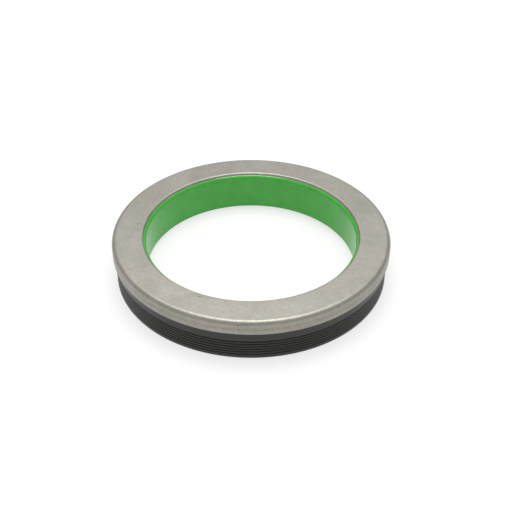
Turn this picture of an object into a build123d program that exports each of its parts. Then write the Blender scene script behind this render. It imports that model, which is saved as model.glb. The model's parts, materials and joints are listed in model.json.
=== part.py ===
"""Unitised oil seal for a wheel hub, in millimetres.

A flanged steel sleeve with a green rubber bore is pressed onto the spindle. A black ribbed case with the
sealing lips is pressed into the hub and turns round the sleeve. A small ring on the sleeve's lower end keeps
the two together. The seal stands on its black oil side. Its axis is +Z, and the origin is the centre of the
plane that it stands on. Every piece is a section in the (radius, height) plane, turned round the axis.
"""

import os
from math import radians, sqrt, tan

from build123d import *

# Whole seal
bore_radius = 59.35  # relaxed bore, a press fit on a spindle of 119.06
section_height = 17.05  # radially from the bore to the rib crests, a press fit in a hub of 152.4
seal_width = 25.4

# Wear sleeve
sleeve_sheet = 1.5
flange_overhang = 1.4  # the rim stands this far out beyond the rib crests
rim_depth = 7.6  # from the flange's face to the rim's lower edge
rim_bend = 2.6  # outer radius where the flange turns down into the rim
throat_bend = 1.2  # outer radius of the tight corner where the flange turns down into the bore
sheared_edge = 0.1  # broken corner on the rim's lower edge
sleeve_recess = 1.8  # the sleeve stops this far above the plane that the seal stands on

# Bore liner
liner_wall = 0.85
liner_lead = 0.3  # chamfer at the liner's lower end
bead_reach = 0.7  # the bead at the liner's top stands in from the bore by this
bead_round = 2.3
bead_drop = 3.55  # from the flange's face down to the bead's crest
bead_foot = 1.2  # from the crest down to where the plain bore starts

# Retaining ring
ring_sheet = 1.2
ring_bend = 1.8
ring_grip = 2.6  # height of its leg on the sleeve
ring_overlap = 2.4  # how far it reaches out past the case's throat

# Outer case, the steel inside the black rubber
case_sheet = 1.5
case_bend = 2.4
throat_gap = 5.3  # from the sleeve to the case's throat, where the lips hang
foot_cover = 1.6  # rubber below the case's lower edge
wall_drop = 1.6  # from the rubber's shoulder down to the case's flat wall

# Ribbed wall of the case rubber
rim_gap = 0.4  # between the rim's lower edge and the rubber's shoulder
shoulder_round = 0.6
groove_count = 6
groove_pitch = 1.66
groove_width = 1.0
groove_floor = 0.3
groove_depth = 0.7
rubber_under_groove = 0.95
bottom_land = 2.68  # from the plane that the seal stands on to the first groove
foot_chamfer = 0.9
foot_wrap = 1.0  # rubber on the inner face of the case's lower edge
foot_wrap_height = 3.2

# Face lips, which run under the flange
air_cover = 1.0  # rubber on the air side of the case's wall
running_gap = 0.12  # between a lip's tip and the steel that it runs on
lip_tip = 0.5
neck_gap = 0.7  # between the rim and the neck that runs inside it
neck_wall = 1.5
neck_height = 2.8  # of the neck's straight stretch above the shoulder
neck_lean = 0.8  # how far its tip leans in
face_lip_base = 1.3
face_lip_lean = 1.2  # how far its tip leans out

# Lips on the sleeve, primary and dust
lip_drop = 5.9  # from the case's wall down to the primary lip's sealing edge
oil_angle = 45.0  # of the primary lip's face on the oil side, off the sleeve
air_angle = 25.0  # of its face on the air side
head_drop = 2.6  # from the sealing edge down to the head's lower face
head_rise = 2.4  # from the sealing edge up to the head's upper end
head_width = 4.7
membrane_wall = 1.3
membrane_heel = 0.8  # height of the membrane's bent stretch above the head
throat_cover = 1.4  # rubber on the throat's inner edge
root_cover = 0.9  # rubber on the oil side of the wall
root_reach = 1.8
dust_lip_rise = 2.6  # of its tip above the wall's cover
dust_lip_base = 1.2

# Garter spring
coil_radius = 1.0
coil_play = 0.02  # between the spring and the groove that it lies in
spring_inset = 0.3  # its centre line lies this far inside the head's back

# Radii that follow, from the bore outwards
sleeve_inner = bore_radius + liner_wall
sleeve_outer = sleeve_inner + sleeve_sheet
lip_edge = sleeve_outer + running_gap
head_back = lip_edge + head_width
case_throat = sleeve_outer + throat_gap
lip_root = case_throat - throat_cover
ring_radius = case_throat + ring_overlap
bead_centre = bore_radius - bead_reach + bead_round
seat_radius = bore_radius + section_height
groove_bottom = seat_radius - groove_depth
case_outer = groove_bottom - rubber_under_groove
case_middle = case_outer - case_sheet / 2
foot_inner = case_outer - case_sheet - foot_wrap
flange_radius = seat_radius + flange_overhang
neck_radius = flange_radius - sleeve_sheet - neck_gap
face_lip_radius = (case_throat + neck_radius - neck_wall) / 2

# Heights that follow, from the flange downwards
lip_ceiling = seal_width - sleeve_sheet - running_gap
bead_height = seal_width - bead_drop
rim_bottom = seal_width - rim_depth
shoulder = rim_bottom - rim_gap
wall_top = shoulder - wall_drop
wall_middle = wall_top - case_sheet / 2
wall_bottom = wall_top - case_sheet
air_floor = wall_top + air_cover
root_bottom = wall_bottom - root_cover
lip_height = wall_bottom - lip_drop
head_top = lip_height + head_rise
head_bottom = lip_height - head_drop


def turned(section):
    """The solid that a section in the (radius, height) plane makes round the seal's axis."""
    return revolve(Plane.XZ * section, Axis.Z)


def outline(*corners):
    """A closed section from (radius, height) corners, with a fillet radius third where one is rounded."""
    points = [corner[:2] for corner in corners]
    fillets = [corner[2] if len(corner) > 2 else 0 for corner in corners]
    return make_face(FilletPolyline(*points, radius=fillets, close=True))


def bent_sheet(*points, bend, thickness):
    """A section of sheet metal whose outer face follows the points, with its thickness on their left."""
    return make_face(offset(FilletPolyline(*points, radius=bend), amount=thickness, side=Side.LEFT))


def wear_sleeve():
    """Flange, turned-down rim and running cylinder, pressed from one sheet."""
    section = bent_sheet(
        (flange_radius, rim_bottom),
        (flange_radius, seal_width),
        (sleeve_inner, seal_width),
        (sleeve_inner, sleeve_recess),
        bend=[rim_bend, throat_bend],
        thickness=sleeve_sheet,
    )
    rim_corner = section.vertices().sort_by_distance((flange_radius, rim_bottom))[0]
    return turned(chamfer(rim_corner, sheared_edge))


def bore_liner():
    """Green rubber bonded in the sleeve, with a rounded bead at its top that slopes back to the bore."""
    rise = sqrt(bead_round**2 - (bead_centre - sleeve_inner) ** 2)
    bead_head = (sleeve_inner, bead_height + rise)
    bead_crest = (bore_radius - bead_reach, bead_height)
    wall = Polyline(
        bead_crest,
        (bore_radius, bead_height - bead_foot),
        (bore_radius, sleeve_recess + liner_lead),
        (bore_radius + liner_lead, sleeve_recess),
        (sleeve_inner, sleeve_recess),
        bead_head,
    )
    return turned(make_face(RadiusArc(bead_head, bead_crest, -bead_round) + wall))


def retaining_ring():
    """Pressed ring on the sleeve's lower end, which reaches out under the case's throat."""
    section = bent_sheet(
        (sleeve_outer, sleeve_recess + ring_grip),
        (sleeve_outer, sleeve_recess),
        (ring_radius, sleeve_recess),
        bend=ring_bend,
        thickness=ring_sheet,
    )
    return turned(section)


def case_section():
    """Section of the steel that stiffens the rubber: a cylinder with a flat wall."""
    return bent_sheet(
        (case_outer, foot_cover),
        (case_outer, wall_top),
        (case_throat, wall_top),
        bend=case_bend,
        thickness=case_sheet,
    )


def groove_section(index):
    """Section of one groove in the ribbed wall, counted from the foot."""
    low = bottom_land + index * groove_pitch
    high = low + groove_width
    flank = (groove_width - groove_floor) / 2
    return outline(
        (seat_radius, low),
        (groove_bottom, low + flank),
        (groove_bottom, high - flank),
        (seat_radius, high),
        (flange_radius, high),
        (flange_radius, low),
    )


def jacket_section():
    """Foot, ribbed wall before its grooves, shoulder, neck with its lip, and air-side cover.

    Its inner boundary runs inside the steel case, which is cut out of the rubber later.
    """
    neck_inner = neck_radius - neck_wall
    neck_top = shoulder + neck_height
    return outline(
        (foot_inner, 0),
        (seat_radius - foot_chamfer, 0),
        (seat_radius, foot_chamfer),
        (seat_radius, shoulder, shoulder_round),
        (neck_radius, shoulder),
        (neck_radius, neck_top),
        (neck_radius - neck_lean, lip_ceiling),
        (neck_radius - neck_lean - lip_tip, lip_ceiling),
        (neck_inner, neck_top),
        (neck_inner, air_floor),
        (lip_root, air_floor),
        (lip_root, wall_middle),
        (case_middle, wall_middle, case_bend - case_sheet / 2),
        (case_middle, foot_wrap_height),
        (foot_inner, foot_wrap_height),
    )


def face_lip_section():
    """Section of the lip between the neck and the throat. It leans out and runs under the flange."""
    return outline(
        (face_lip_radius - face_lip_base / 2, air_floor),
        (face_lip_radius + face_lip_lean - lip_tip / 2, lip_ceiling),
        (face_lip_radius + face_lip_lean + lip_tip / 2, lip_ceiling),
        (face_lip_radius + face_lip_base / 2, air_floor),
        (face_lip_radius, wall_middle),
    )


def dust_lip_section():
    """Section of the thin lip that leans to the air side and runs on the sleeve."""
    return outline(
        (lip_root, wall_bottom),
        (lip_edge, air_floor + dust_lip_rise - lip_tip),
        (lip_edge + lip_tip / 2, air_floor + dust_lip_rise),
        (lip_root + dust_lip_base, air_floor),
        (lip_root + dust_lip_base, wall_bottom),
    )


def primary_lip_section():
    """Section of the spring-loaded lip, its membrane, and the root that grips the case's wall."""
    head = outline(
        (lip_edge, lip_height),
        (lip_edge + head_drop / tan(radians(oil_angle)), head_bottom),
        (head_back, head_bottom),
        (head_back, head_top),
        (lip_root + membrane_wall, root_bottom),
        (lip_root, root_bottom),
        (head_back - membrane_wall, head_top + membrane_heel),
        (lip_edge + head_rise * tan(radians(air_angle)), head_top),
    )
    root = outline(
        (lip_root, root_bottom),
        (case_throat + root_reach, root_bottom),
        (case_throat + root_reach, wall_middle),
        (lip_root, wall_middle),
    )
    return head + root


def spring_section(radius):
    """A round section on the garter spring's centre line, for the spring or for its groove."""
    return Pos(head_back - spring_inset, lip_height) * Circle(radius)


def case_rubber():
    """One black moulding: the ribbed wall that grips the hub, and every lip."""
    section = jacket_section() + face_lip_section() + dust_lip_section() + primary_lip_section()
    for index in range(groove_count):
        section -= groove_section(index)
    return turned(section - case_section() - spring_section(coil_radius + coil_play))


pieces = {
    "wear_sleeve": wear_sleeve(),
    "bore_liner": bore_liner(),
    "retaining_ring": retaining_ring(),
    "outer_case": turned(case_section()),
    "case_rubber": case_rubber(),
    "garter_spring": turned(spring_section(coil_radius)),
}

os.makedirs("parts", exist_ok=True)
for name, piece in pieces.items():
    export_step(piece, f"parts/{name}.step")
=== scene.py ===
"""Looks of the unitised wheel-hub oil seal: bare steel sleeve, green rubber bore, black ribbed case.

Sections are in millimetres as (radius, height), like the solids, and are turned round the seal's axis. The
marks and the grain of the materials are in millimetres too. The floor, lamps and camera are in metres.
"""

import json
import math

import bpy
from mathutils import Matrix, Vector, noise


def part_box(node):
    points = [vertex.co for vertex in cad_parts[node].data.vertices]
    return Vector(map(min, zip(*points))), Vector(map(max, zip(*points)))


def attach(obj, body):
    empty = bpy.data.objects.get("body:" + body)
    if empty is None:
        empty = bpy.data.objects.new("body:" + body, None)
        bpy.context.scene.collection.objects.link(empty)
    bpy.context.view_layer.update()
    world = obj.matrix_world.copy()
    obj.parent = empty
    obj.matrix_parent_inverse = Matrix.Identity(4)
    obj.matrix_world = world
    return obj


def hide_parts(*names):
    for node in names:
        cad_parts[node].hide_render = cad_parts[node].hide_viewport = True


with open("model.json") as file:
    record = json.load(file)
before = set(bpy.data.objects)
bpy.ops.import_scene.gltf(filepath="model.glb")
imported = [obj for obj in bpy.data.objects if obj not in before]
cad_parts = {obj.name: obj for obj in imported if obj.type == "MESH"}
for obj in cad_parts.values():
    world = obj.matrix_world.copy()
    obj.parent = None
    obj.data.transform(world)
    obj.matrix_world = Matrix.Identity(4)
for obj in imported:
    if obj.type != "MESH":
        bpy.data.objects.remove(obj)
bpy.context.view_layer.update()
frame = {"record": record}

MM = 0.001
TURN = 2 * math.pi
STEPS_ROUND = 384  # flats round each ring
RUBBER_STEPS_ROUND = 248  # fewer, because the case rubber's section has many points
COARSE_FILLET = math.radians(20)  # one flat of a small rounded corner
FINE_FILLET = math.radians(9)  # one flat of a bend
FINE_FROM = 0.5  # a rounded corner of at least this radius gets the fine flats
CREASE = math.radians(32)  # a sharper corner of a section shows as an edge
SUPPORT = 0.12  # extra points stand this far from the ends of a straight run
SUPPORT_FROM = 0.9  # a straight run gets them from this length on
LONGEST_RUN = 2.6


# Sizes read from the frame, in millimetres

def box_of(node):
    """Lowest and highest corner of a solid, in millimetres."""
    low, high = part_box(node)
    return low / MM, high / MM


sleeve_low, sleeve_high = box_of("wear_sleeve")
_, liner_high = box_of("bore_liner")
_, ring_high = box_of("retaining_ring")
case_low, case_high = box_of("outer_case")
_, rubber_high = box_of("case_rubber")
spring_low, spring_high = box_of("garter_spring")
mounts = {mount["name"]: mount for mount in frame["record"]["mounts"]}

top = sleeve_high.z
sleeve_end = sleeve_low.z
flange_radius = sleeve_high.x
sleeve_inner = liner_high.x
bore_radius = mounts["spindle_bore"]["dims"]["r_mm"]
seat_radius = mounts["hub_seat"]["dims"]["r_mm"]
ring_radius = ring_high.x
ring_leg_top = ring_high.z
case_outer = case_high.x
case_foot = case_low.z
wall_top = case_high.z
lip_ceiling = rubber_high.z
coil_radius = (spring_high.z - spring_low.z) / 2
spring_height = (spring_high.z + spring_low.z) / 2
spring_radius = spring_high.x - coil_radius

# Sizes repeated from the solids, in millimetres

sleeve_sheet = 1.5
rim_depth = 7.6
rim_bottom = top - rim_depth
rim_bend = 2.6
sleeve_outer = sleeve_inner + sleeve_sheet
rim_inner = flange_radius - sleeve_sheet
throat_bend = 1.2
sheared_edge = 0.08  # roundness of a cleanly sheared edge
burr_edge = 0.12  # roundness of a tumbled edge

bead_round = 2.3
bead_reach = 0.7
bead_radius = bore_radius - bead_reach + bead_round  # where the centre of its arc lies
bead_drop = 3.55
bead_height = top - bead_drop
bead_foot = 1.2
liner_lead = 0.3

ring_sheet = 1.2
ring_bend = 1.8

case_sheet = 1.5
case_bend = 2.4
throat_gap = 5.3
case_throat = sleeve_outer + throat_gap
case_inner = case_outer - case_sheet
wall_bottom = wall_top - case_sheet

rim_gap = 0.4
shoulder = rim_bottom - rim_gap
shoulder_round = 0.6
groove_count = 6
groove_pitch = 1.66
groove_width = 1.0
groove_floor = 0.3
groove_depth = 0.7
bottom_land = 2.68
foot_chamfer = 0.9
foot_wrap = 1.0
foot_inner = case_inner - foot_wrap
foot_wrap_height = 3.2
crest_round = 0.13
floor_round = 0.1

air_cover = 1.0
air_floor = wall_top + air_cover
lip_tip = 0.5
neck_gap = 0.7
neck_radius = rim_inner - neck_gap
neck_wall = 1.5
neck_height = 2.8
neck_top = shoulder + neck_height
neck_lean = 0.8
face_lip_base = 1.3
face_lip_lean = 1.2
face_lip_radius = (case_throat + neck_radius - neck_wall) / 2
running_gap = 0.12
lip_edge = sleeve_outer + running_gap
throat_cover = 1.4
lip_root = case_throat - throat_cover
lip_height = spring_height
root_cover = 0.9
root_bottom = wall_bottom - root_cover
root_width = 1.8
root_reach = case_throat + root_width
head_drop = 2.6
head_rise = 2.4
head_top = lip_height + head_rise
head_bottom = lip_height - head_drop
head_width = 4.7
head_back = lip_edge + head_width
membrane_wall = 1.3
membrane_heel = 0.8
oil_angle = math.radians(45)
air_angle = math.radians(25)
dust_lip_rise = 2.6
dust_lip_base = 1.2
groove_play = 0.02  # between the spring and its groove

moulded_round = 0.3  # of the moulding's plain corners
blunt_round = 0.4
hollow_round = 0.5  # of the corners at the foot of the lips, and where the lips bend
tip_round = 0.1
dust_tip_round = 0.08


# Sections

def arc_points(centre, start, sweep, step):
    """Points from the start point round the centre, anticlockwise for a positive sweep."""
    arm = Vector(start) - Vector(centre)
    count = max(2, math.ceil(abs(sweep) / step))
    points = []
    for index in range(count + 1):
        angle = sweep * index / count
        points.append((
            centre[0] + arm.x * math.cos(angle) - arm.y * math.sin(angle),
            centre[1] + arm.x * math.sin(angle) + arm.y * math.cos(angle),
        ))
    return points


def fillet(before, corner, after, radius):
    """Points of the arc that rounds one corner."""
    back = (Vector(before) - Vector(corner)).normalized()
    ahead = (Vector(after) - Vector(corner)).normalized()
    half = back.angle(ahead) / 2
    centre = Vector(corner) + (back + ahead).normalized() * radius / math.sin(half)
    start = Vector(corner) + back * radius / math.tan(half)
    turn = math.pi - 2 * half
    anticlockwise = back.y * ahead.x - back.x * ahead.y > 0
    step = FINE_FILLET if radius >= FINE_FROM else COARSE_FILLET
    return arc_points(centre, start, turn if anticlockwise else -turn, step)


def outline(*corners):
    """A closed section from (radius, height) corners, with a fillet radius third where one is rounded."""
    points = []
    for index, corner in enumerate(corners):
        if len(corner) == 2:
            points.append(corner)
        else:
            following = corners[(index + 1) % len(corners)]
            points += fillet(corners[index - 1][:2], corner[:2], following[:2], corner[2])
    return points


def supported(section):
    """The section with extra points on its straight runs, so that flats shade flat up to their ends."""
    points = []
    for here, following in zip(section, section[1:] + section[:1]):
        points.append(here)
        run = Vector(following) - Vector(here)
        if run.length < SUPPORT_FROM:
            continue
        inside = run.length - 2 * SUPPORT
        pieces = math.ceil(inside / LONGEST_RUN)
        for index in range(pieces + 1):
            reach = SUPPORT + inside * index / pieces
            points.append(tuple(Vector(here) + run * reach / run.length))
    return points


def even(angle, radius, height):
    """No unevenness."""
    return radius, height


def lathe(name, section, uneven=even, steps=STEPS_ROUND):
    """A closed ring with an anticlockwise section. Its smooth runs and its edges follow the section."""
    section = supported(section)
    count = len(section)
    vertices = []
    for step in range(steps):
        angle = TURN * step / steps
        for radius, height in section:
            radius, height = uneven(angle, radius, height)
            vertices.append((radius * math.cos(angle) * MM, radius * math.sin(angle) * MM, height * MM))
    faces = []
    for step in range(steps):
        here = step * count
        there = (step + 1) % steps * count
        for index in range(count):
            following = (index + 1) % count
            faces.append((here + index, there + index, there + following, here + following))
    ring = mesh_object(name, vertices, faces)
    sharp = [is_sharp(section, index) for index in range(count)]
    for edge in ring.data.edges:
        first, second = edge.vertices
        edge.use_edge_sharp = first % count == second % count and sharp[first % count]
    return ring


def is_sharp(section, index):
    """Whether a section turns enough at one of its points to show as an edge."""
    before = Vector(section[index]) - Vector(section[index - 1])
    after = Vector(section[(index + 1) % len(section)]) - Vector(section[index])
    return before.angle(after) > CREASE


def mesh_object(name, vertices, faces):
    """A smooth-shaded object in the scene."""
    mesh = bpy.data.meshes.new(name)
    mesh.from_pydata(vertices, [], faces)
    mesh.shade_smooth()
    made = bpy.data.objects.new(name, mesh)
    bpy.context.scene.collection.objects.link(made)
    return made


def ripple(angle, height, waves, seed):
    """Smooth unevenness from 0 to 1, with about this many waves round the seal."""
    waves_per_height = 0.12
    swing = 0.6
    reach = waves / TURN
    place = Vector((math.cos(angle) * reach, math.sin(angle) * reach, height * waves_per_height + seed))
    return min(1, max(0, 0.5 + swing * noise.noise(place)))


# Pieces

def flanged_sleeve():
    """Flange, turned-down rim and running cylinder, pressed from one sheet."""
    section = outline(
        (flange_radius, rim_bottom, sheared_edge),
        (flange_radius, top, rim_bend),
        (sleeve_inner, top, throat_bend),
        (sleeve_inner, sleeve_end, burr_edge),
        (sleeve_outer, sleeve_end, burr_edge),
        (sleeve_outer, top - sleeve_sheet),
        (rim_inner, top - sleeve_sheet, rim_bend - sleeve_sheet),
        (rim_inner, rim_bottom, burr_edge),
    )

    def pressed(angle, radius, height):
        """The rim's slight waviness, and its uneven trimmed edge."""
        even_radius = rim_inner - 1
        trim_height = 1.5
        trim_depth = 0.1
        waviness = 0.03
        if radius < even_radius:
            return radius, height
        trim = max(0, 1 - (height - rim_bottom) / trim_height)
        height += trim_depth * trim * ripple(angle, 0, waves=26, seed=3)
        return radius - waviness * ripple(angle, height, waves=9, seed=7), height

    return lathe("flanged_sleeve", section, pressed)


def green_liner():
    """Green rubber bonded in the sleeve, with a rounded bead at its top that slopes back to the bore."""
    start = math.asin((bead_radius - sleeve_inner) / bead_round)
    bead = arc_points(
        (bead_radius, bead_height),
        (sleeve_inner, bead_height + bead_round * math.cos(start)),
        math.pi / 2 - start,
        FINE_FILLET,
    )
    section = [
        (bore_radius + liner_lead, sleeve_end),
        (sleeve_inner, sleeve_end),
        *bead,
        (bore_radius, bead_height - bead_foot),
        (bore_radius, sleeve_end + liner_lead),
    ]
    return lathe("green_liner", section)


def pressed_ring():
    """Pressed ring on the sleeve's lower end."""
    section = outline(
        (sleeve_outer, sleeve_end, ring_bend),
        (ring_radius, sleeve_end, burr_edge),
        (ring_radius, sleeve_end + ring_sheet, sheared_edge),
        (sleeve_outer + ring_sheet, sleeve_end + ring_sheet, ring_bend - ring_sheet),
        (sleeve_outer + ring_sheet, ring_leg_top, sheared_edge),
        (sleeve_outer, ring_leg_top),
    )
    return lathe("pressed_ring", section)


def case_shell():
    """The steel that stiffens the rubber: a cylinder with a flat wall."""
    section = outline(
        (case_outer, case_foot),
        (case_outer, wall_top, case_bend),
        (case_throat, wall_top),
        (case_throat, wall_bottom),
        (case_inner, wall_bottom, case_bend - case_sheet),
        (case_inner, case_foot),
    )
    return lathe("case_shell", section)


def ribs():
    """Corners of the grooved wall, from the foot up."""
    corners = []
    for index in range(groove_count):
        low = bottom_land + index * groove_pitch
        high = low + groove_width
        flank = (groove_width - groove_floor) / 2
        corners += [
            (seat_radius, low, crest_round),
            (seat_radius - groove_depth, low + flank, floor_round),
            (seat_radius - groove_depth, high - flank, floor_round),
            (seat_radius, high, crest_round),
        ]
    return corners


def moulded_case():
    """One black moulding round the case's steel: the ribbed wall that grips the hub, and every lip."""
    neck_inner = neck_radius - neck_wall
    outside = [
        (foot_inner, 0, blunt_round),
        (seat_radius - foot_chamfer, 0, moulded_round),
        (seat_radius, foot_chamfer, moulded_round),
        *ribs(),
        (seat_radius, shoulder, shoulder_round),
    ]
    neck = [
        (neck_radius, shoulder, moulded_round),
        (neck_radius, neck_top, hollow_round),
        (neck_radius - neck_lean, lip_ceiling, tip_round),
        (neck_radius - neck_lean - lip_tip, lip_ceiling, tip_round),
        (neck_inner, neck_top, hollow_round),
        (neck_inner, air_floor, hollow_round),
    ]
    face_lip = [
        (face_lip_radius + face_lip_base / 2, air_floor, hollow_round),
        (face_lip_radius + face_lip_lean + lip_tip / 2, lip_ceiling, tip_round),
        (face_lip_radius + face_lip_lean - lip_tip / 2, lip_ceiling, tip_round),
        (face_lip_radius - face_lip_base / 2, air_floor, hollow_round),
    ]
    dust_lip = [
        (lip_root + dust_lip_base, air_floor, hollow_round),
        (lip_edge + lip_tip / 2, air_floor + dust_lip_rise, dust_tip_round),
        (lip_edge, air_floor + dust_lip_rise - lip_tip),
        (lip_root, wall_bottom, moulded_round),
    ]
    reach = math.sqrt((coil_radius + groove_play) ** 2 - (head_back - spring_radius) ** 2)
    mouth = math.atan2(reach, head_back - spring_radius)
    pocket = arc_points(
        (spring_radius, spring_height),
        (head_back, spring_height - reach),
        -2 * (math.pi - mouth),
        COARSE_FILLET,
    )
    primary_lip = [
        (head_back - membrane_wall, head_top + membrane_heel, hollow_round),
        (lip_edge + head_rise * math.tan(air_angle), head_top, moulded_round),
        (lip_edge, lip_height),
        (lip_edge + head_drop / math.tan(oil_angle), head_bottom, moulded_round),
        (head_back, head_bottom, moulded_round),
        *pocket,
        (head_back, head_top, blunt_round),
        (lip_root + membrane_wall, root_bottom, hollow_round),
        (root_reach, root_bottom, moulded_round),
        (root_reach, wall_bottom),
    ]
    round_the_case = [
        (case_throat, wall_bottom),
        (case_throat, wall_top),
        (case_outer, wall_top, case_bend),
        (case_outer, case_foot),
        (case_inner, case_foot),
        (case_inner, foot_wrap_height),
        (foot_inner, foot_wrap_height, moulded_round),
    ]
    section = outline(*outside, *neck, *face_lip, *dust_lip, *primary_lip, *round_the_case)
    return lathe("moulded_case", section, steps=RUBBER_STEPS_ROUND)


def coil_spring():
    """A close-wound coil of round wire, bent to a ring."""
    wire_radius = 0.25
    helix_radius = coil_radius - wire_radius
    turns = round(TURN * spring_radius / (2 * wire_radius))
    steps_per_turn = 8
    sides = 5
    count = turns * steps_per_turn
    vertices = []
    for step in range(count):
        round_seal = TURN * step / count
        round_coil = TURN * step / steps_per_turn
        radial = Vector((math.cos(round_seal), math.sin(round_seal), 0))
        outward = radial * math.cos(round_coil) + Vector((0, 0, math.sin(round_coil)))
        along = Vector((-math.sin(round_seal), math.cos(round_seal), 0))
        centre = radial * spring_radius + Vector((0, 0, spring_height)) + outward * helix_radius
        for side in range(sides):
            angle = TURN * side / sides
            arm = outward * math.cos(angle) + along * math.sin(angle)
            vertices.append((centre + arm * wire_radius) * MM)
    faces = []
    for step in range(count):
        here = step * sides
        there = (step + 1) % count * sides
        for side in range(sides):
            following = (side + 1) % sides
            faces.append((here + side, here + following, there + following, there + side))
    return mesh_object("coil_spring", vertices, faces)


# Materials

class Finish:
    """A procedural material while its nodes are put together."""

    def __init__(self, name, **constants):
        self.material = bpy.data.materials.new(name)
        self.material.use_nodes = True
        self.tree = self.material.node_tree
        self.shader = self.tree.nodes["Principled BSDF"]
        for socket, value in constants.items():
            self.shader.inputs[socket.replace("_", " ")].default_value = value
        self.place = self.tree.nodes.new("ShaderNodeTexCoord").outputs["Object"]

    def grain(self, size, detail=2.0, roughness=0.5, stretch=(1, 1, 1), distortion=0.0):
        """Noise whose patches are about this many millimetres across, from 0 to 1."""
        mapping = self.tree.nodes.new("ShaderNodeMapping")
        mapping.inputs["Scale"].default_value = [1 / (size * MM * axis) for axis in stretch]
        texture = self.tree.nodes.new("ShaderNodeTexNoise")
        texture.inputs["Scale"].default_value = 1
        texture.inputs["Detail"].default_value = detail
        texture.inputs["Roughness"].default_value = roughness
        texture.inputs["Distortion"].default_value = distortion
        self.tree.links.new(self.place, mapping.inputs["Vector"])
        self.tree.links.new(mapping.outputs["Vector"], texture.inputs["Vector"])
        return texture.outputs["Fac"]

    def ramp(self, factor, *stops):
        """Colours or greys by factor, from (position, value) stops."""
        node = self.tree.nodes.new("ShaderNodeValToRGB")
        elements = node.color_ramp.elements
        while len(elements) < len(stops):
            elements.new(1)
        for element, (position, value) in zip(elements, stops):
            element.position = position
            element.color = (*value, 1) if isinstance(value, tuple) else (value, value, value, 1)
        self.tree.links.new(factor, node.inputs["Fac"])
        return node.outputs["Color"]

    def blend(self, factor, first, second, kind="MIX"):
        """Two colours blended by a factor, which may be a number."""
        node = self.tree.nodes.new("ShaderNodeMix")
        node.data_type = "RGBA"
        node.blend_type = kind
        self.feed(factor, node.inputs["Factor"])
        self.feed(first, node.inputs[6])
        self.feed(second, node.inputs[7])
        return node.outputs[2]

    def feed(self, value, socket):
        """Sets a socket to a number or colour, or links it to another socket."""
        if isinstance(value, bpy.types.NodeSocket):
            self.tree.links.new(value, socket)
        elif isinstance(value, tuple):
            socket.default_value = (*value, 1)
        else:
            socket.default_value = value

    def worked_out(self, operation, first, second):
        """A sum, product or other result of two numbers or sockets."""
        node = self.tree.nodes.new("ShaderNodeMath")
        node.operation = operation
        self.feed(first, node.inputs[0])
        self.feed(second, node.inputs[1])
        return node.outputs[0]

    def sum(self, first, second):
        return self.worked_out("ADD", first, second)

    def scaled(self, value, scale):
        return self.worked_out("MULTIPLY", value, scale)

    def by_height(self, low, high, *stops):
        """Colours or greys by height, from (share of the way from low to high, value) stops."""
        split = self.tree.nodes.new("ShaderNodeSeparateXYZ")
        self.tree.links.new(self.place, split.inputs[0])
        share = self.tree.nodes.new("ShaderNodeMapRange")
        share.inputs["From Min"].default_value = low * MM
        share.inputs["From Max"].default_value = high * MM
        self.tree.links.new(split.outputs["Z"], share.inputs["Value"])
        return self.ramp(share.outputs["Result"], *stops)

    def mark(self, azimuth, radius, height, along, across, tall, skew=0):
        """1 at a small mark on the seal and 0 around it.

        Its sizes are round the seal, radial and upright. Its skew is a turn about the upright, in degrees.
        """
        turn = math.radians(azimuth)
        mapping = self.tree.nodes.new("ShaderNodeMapping")
        mapping.vector_type = "TEXTURE"
        mapping.inputs["Location"].default_value = (
            radius * math.cos(turn) * MM, radius * math.sin(turn) * MM, height * MM)
        mapping.inputs["Rotation"].default_value = (0, 0, turn + math.pi / 2 + math.radians(skew))
        mapping.inputs["Scale"].default_value = (along / 2 * MM, across / 2 * MM, tall / 2 * MM)
        self.tree.links.new(self.place, mapping.inputs["Vector"])
        away = self.tree.nodes.new("ShaderNodeVectorMath")
        away.operation = "LENGTH"
        self.tree.links.new(mapping.outputs["Vector"], away.inputs[0])
        return self.ramp(away.outputs["Value"], (0.4, 1.0), (1.0, 0.0))

    def colour(self, value):
        self.feed(value, self.shader.inputs["Base Color"])

    def gloss(self, value):
        self.feed(value, self.shader.inputs["Roughness"])

    def bump(self, *layers):
        """Bumps on top of each other, from (height, depth in millimetres) pairs."""
        normal = None
        for height, depth in layers:
            node = self.tree.nodes.new("ShaderNodeBump")
            node.inputs["Strength"].default_value = 1
            node.inputs["Distance"].default_value = depth * MM
            self.tree.links.new(height, node.inputs["Height"])
            if normal is not None:
                self.tree.links.new(normal, node.inputs["Normal"])
            normal = node.outputs["Normal"]
        self.tree.links.new(normal, self.shader.inputs["Normal"])


stain = (0.21, 0.18, 0.145)
rust = (0.13, 0.07, 0.05)
bright = (0.72, 0.72, 0.69)
scratch = (0.27, 0.26, 0.23)
steel_marks = [  # azimuth, radius and height, its three sizes, its skew where it has one; then its colour
    ((-94.96, 77.6, 23.5, 0.7, 1.0, 0.9), rust),
    ((-95.54, 77.8, 19.4, 0.6, 0.6, 1.1), bright),
    ((-78.60, 77.8, 18.0, 0.5, 0.6, 0.5), bright),
    ((-114.5, 63.0, top, 4.2, 0.9, 0.4), stain),
    ((-98.87, 68.6, top, 0.5, 1.6, 0.4), stain),
    ((-28.4, 64.1, top, 1.1, 0.9, 0.4), stain),
    ((-35.6, 72.1, top, 12.6, 0.5, 0.4, -35), scratch),
    ((-9.4, 65.8, top, 0.5, 2.2, 0.4, 20), stain),
    ((31.4, 62.7, top, 4.0, 0.8, 0.4), stain),
    ((174.0, 64.6, top, 1.0, 3.2, 0.4, 15), stain),
]


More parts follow.
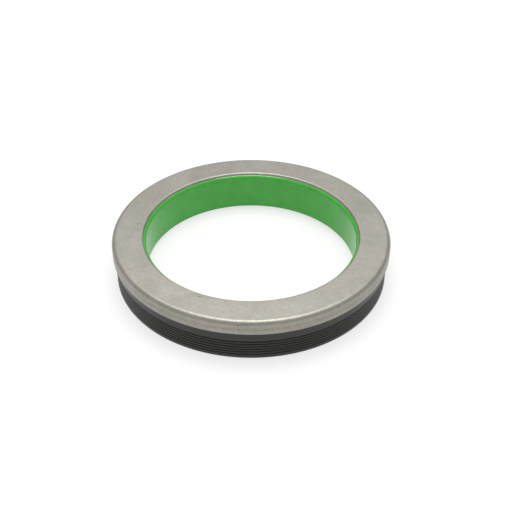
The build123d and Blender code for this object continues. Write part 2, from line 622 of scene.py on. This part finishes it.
def bare_steel():
    """Satin bare steel: faint warm and cool patches, fine grain, small dark specks and marks of wear."""
    finish = Finish("bare_steel", Metallic=1.0)
    clouds = finish.grain(15, detail=4, roughness=0.55, distortion=0.8)
    tint = finish.grain(9, detail=3, roughness=0.55, distortion=0.8)
    mottle = finish.grain(1.8, detail=3, roughness=0.6)
    grain = finish.grain(0.45, detail=2)
    specks = finish.grain(1.1, detail=1, roughness=0.4)
    scuffs = finish.grain(4, detail=5, roughness=0.8, distortion=0.6)
    shade = finish.ramp(clouds, (0.32, (0.324, 0.311, 0.271)), (0.68, (0.372, 0.363, 0.323)))
    warmth = finish.ramp(tint, (0.36, (0.98, 1.0, 0.99)), (0.64, (1.02, 0.99, 1.0)))
    light = finish.ramp(mottle, (0.3, 0.92), (0.7, 1.06))
    fine = finish.ramp(grain, (0.3, 0.96), (0.7, 1.035))
    dots = finish.ramp(specks, (0.19, 0.5), (0.26, 1.0))
    brown = finish.ramp(scuffs, (0.62, (1.0, 1.0, 1.0)), (0.76, (0.84, 0.76, 0.68)))
    colour = shade
    for layer in (warmth, light, fine, dots, brown):
        colour = finish.blend(1.0, colour, layer, "MULTIPLY")
    # A darker band round the skirt at about mid-height, set by height alone; the scuffs noise breaks up
    # where it shows.
    darker_band = finish.by_height(rim_bottom, top, (0.2, 1.0), (0.42, (0.80, 0.77, 0.73)), (0.6, 1.0))
    colour = finish.blend(finish.ramp(scuffs, (0.35, 0.1), (0.6, 1.0)), colour, darker_band, "MULTIPLY")
    for place_and_size, mark_colour in steel_marks:
        colour = finish.blend(finish.mark(*place_and_size), colour, mark_colour)
    finish.colour(colour)
    finish.gloss(finish.ramp(mottle, (0.3, 0.48), (0.7, 0.42)))
    finish.bump((clouds, 0.08), (mottle, 0.015), (grain, 0.004))
    return finish.material


def green_rubber():
    """Glossy green rubber, a little uneven."""
    finish = Finish("green_rubber", IOR=1.55)
    clouds = finish.grain(8, detail=3)
    grain = finish.grain(0.6, detail=2)
    finish.colour(finish.ramp(clouds, (0.3, (0.028, 0.340, 0.018)), (0.7, (0.040, 0.385, 0.028))))
    smoother_bead = finish.by_height(bead_height - bead_foot, bead_height, (0.0, 1.0), (1.0, 0.45))
    gloss = finish.ramp(clouds, (0.3, 0.17), (0.7, 0.24))
    finish.gloss(finish.blend(1.0, gloss, smoother_bead, "MULTIPLY"))
    finish.bump((clouds, 0.05), (grain, 0.004))
    return finish.material


dusty = (0.11, 0.11, 0.10)
rubber_marks = [
    ((-89.31, seat_radius, 2.85, 0.35, 0.8, 2.8), dusty),
    ((-91.21, seat_radius, 4.9, 0.7, 0.8, 0.6), dusty),
]


def black_rubber():
    """Satin black rubber with a grey bloom."""
    finish = Finish("black_rubber", IOR=1.48)
    clouds = finish.grain(5, detail=4, roughness=0.6)
    grain = finish.grain(0.5, detail=2)
    dust = finish.grain(0.8, detail=1, roughness=0.4)
    shade = finish.ramp(clouds, (0.3, (0.012, 0.0115, 0.0095)), (0.7, (0.019, 0.0185, 0.0155)))
    pale = finish.ramp(dust, (0.76, 1.0), (0.82, 3.0))
    colour = finish.blend(1.0, shade, pale, "MULTIPLY")
    for place_and_size, mark_colour in rubber_marks:
        colour = finish.blend(finish.mark(*place_and_size), colour, mark_colour)
    finish.colour(colour)
    finish.gloss(finish.ramp(clouds, (0.3, 0.30), (0.7, 0.40)))
    finish.bump((grain, 0.01))
    return finish.material


def inner_steel(name, dark, light, rough):
    """Pressed steel that lies inside, lightly oiled, with fine drawing marks."""
    finish = Finish(name, Metallic=1.0)
    clouds = finish.grain(7, detail=3)
    marks = finish.grain(0.6, detail=2, stretch=(1, 1, 8))
    finish.colour(finish.ramp(clouds, (0.3, dark), (0.7, light)))
    finish.gloss(finish.ramp(clouds, (0.3, rough - 0.04), (0.7, rough + 0.05)))
    finish.bump((marks, 0.006))
    return finish.material


# Assembly

def place(piece, body, node, slot, material):
    """Puts a finished piece in a solid's place."""
    piece.data.materials.append(material)
    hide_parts(node)
    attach(piece, body)


place(flanged_sleeve(), "sleeve", "wear_sleeve", "bare_steel", bare_steel())
place(green_liner(), "sleeve", "bore_liner", "green_rubber", green_rubber())
ring_finish = inner_steel("ring_steel", (0.36, 0.35, 0.32), (0.44, 0.43, 0.40), 0.33)
place(pressed_ring(), "sleeve", "retaining_ring", "ring_steel", ring_finish)
case_finish = inner_steel("case_steel", (0.28, 0.28, 0.265), (0.36, 0.355, 0.335), 0.38)
place(case_shell(), "case", "outer_case", "case_steel", case_finish)
place(moulded_case(), "case", "case_rubber", "black_rubber", black_rubber())
spring_finish = inner_steel("spring_steel", (0.50, 0.50, 0.48), (0.58, 0.575, 0.55), 0.22)
place(coil_spring(), "case", "garter_spring", "spring_steel", spring_finish)


# Studio

def floor():
    """A pale floor that reaches to the horizon. The camera and reflections see it as mostly plain white."""
    reach = 6
    plain_share = 0.7
    corners = [(-reach, -reach, 0), (reach, -reach, 0), (reach, reach, 0), (-reach, reach, 0)]
    ground = mesh_object("floor", corners, [(0, 1, 2, 3)])
    finish = Finish("pale_floor", Roughness=0.9, Specular_IOR_Level=0.0)
    finish.colour((0.98, 0.98, 0.98))
    tree = finish.tree
    path = tree.nodes.new("ShaderNodeLightPath")
    seen = finish.sum(finish.sum(path.outputs["Is Camera Ray"], path.outputs["Is Glossy Ray"]),
                      path.outputs["Is Transmission Ray"])
    plain = tree.nodes.new("ShaderNodeEmission")
    mixed = tree.nodes.new("ShaderNodeMixShader")
    tree.links.new(finish.scaled(seen, plain_share), mixed.inputs[0])
    tree.links.new(finish.shader.outputs[0], mixed.inputs[1])
    tree.links.new(plain.outputs[0], mixed.inputs[2])
    tree.links.new(mixed.outputs[0], tree.nodes["Material Output"].inputs["Surface"])
    ground.data.materials.append(finish.material)


def softbox(name, tilt, distance, half_angle, radiance):
    """A round lamp tilted back from overhead and aimed at the seal. A radiance of 1 would look white."""
    diameter = 2 * distance * math.tan(half_angle)
    area = math.pi * diameter**2 / 4
    lamp = bpy.data.lights.new(name, "AREA")
    lamp.shape = "DISK"
    lamp.size = diameter
    lamp.energy = radiance * math.pi * area
    holder = bpy.data.objects.new(name, lamp)
    holder.location = (0, distance * math.sin(tilt), distance * math.cos(tilt))
    holder.rotation_euler = (-tilt, 0, 0)
    bpy.context.scene.collection.objects.link(holder)


def room():
    """Even soft light from all round."""
    shade = 0.65
    world = bpy.data.worlds.new("room")
    world.use_nodes = True
    world.node_tree.nodes["Background"].inputs["Color"].default_value = (shade, shade, shade, 1)
    bpy.context.scene.world = world


def camera():
    """The photograph's view: its elevation, distance and framing."""
    image_size = 510
    elevation = math.radians(35.82)
    distance = 0.5012  # to the centre of the flange's face
    focal_pixels = 893.95
    face_centre_x = 251.19
    face_centre_y = 230.54
    data = bpy.data.cameras.new("camera")
    data.sensor_width = 36
    data.lens = focal_pixels / image_size * data.sensor_width
    data.shift_x = (image_size / 2 - face_centre_x) / image_size
    data.shift_y = (face_centre_y - image_size / 2) / image_size
    eye = bpy.data.objects.new("camera", data)
    eye.location = (0, -distance * math.cos(elevation), top * MM + distance * math.sin(elevation))
    eye.rotation_euler = (math.pi / 2 - elevation, 0, 0)
    bpy.context.scene.collection.objects.link(eye)
    bpy.context.scene.camera = eye


floor()
softbox("key", tilt=math.radians(11), distance=1.5, half_angle=math.radians(11), radiance=8.3)
softbox("fill", tilt=math.radians(16), distance=1.5, half_angle=math.radians(36), radiance=1.0)
room()
camera()
bpy.context.scene.view_settings.view_transform = "Standard"
